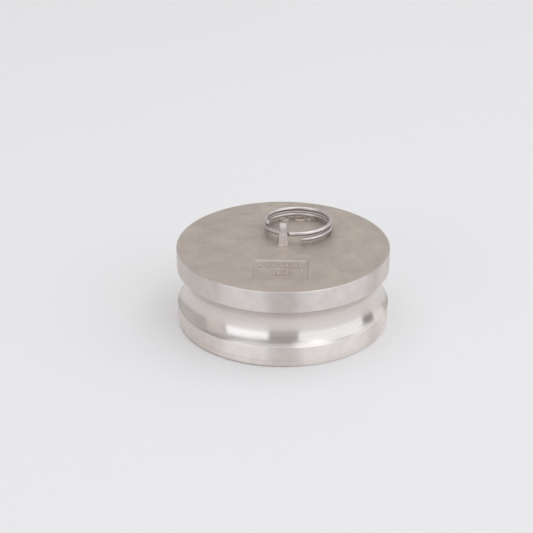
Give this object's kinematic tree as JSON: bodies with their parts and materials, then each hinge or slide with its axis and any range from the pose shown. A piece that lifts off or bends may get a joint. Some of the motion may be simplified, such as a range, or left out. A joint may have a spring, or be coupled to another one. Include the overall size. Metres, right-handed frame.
{
  "type": "pipe plug",
  "caption": "Round closed pipe plug with an outer groove for cam arms, a hollow inside, and a split ring through an ear on its closed end.",
  "frame": {"origin": "centre of the nose's end face, which the plug stands on", "axes": "+Z along the plug's axis from the open nose to the closed end, X along the pivot of the ring, -Y to the side that the front panel is on"},
  "size_m": [0.1194, 0.1194, 0.0563],
  "materials": {
    "cast_steel": "blasted cast top, fine-turned bands, polished groove",
    "ring_wire": "bright drawn wire"
  },
  "bodies": {
    "plug": {"plug_body": "cast_steel"},
    "ring": {"split_ring": "ring_wire"}
  },
  "joints": [
    {"name": "ring_flip", "type": "hinge", "parent": "plug", "child": "ring", "pos_m": [0, 0.0042, 0.0507], "axis": [1, 0, 0], "range_deg": [0, 187]}
  ]
}
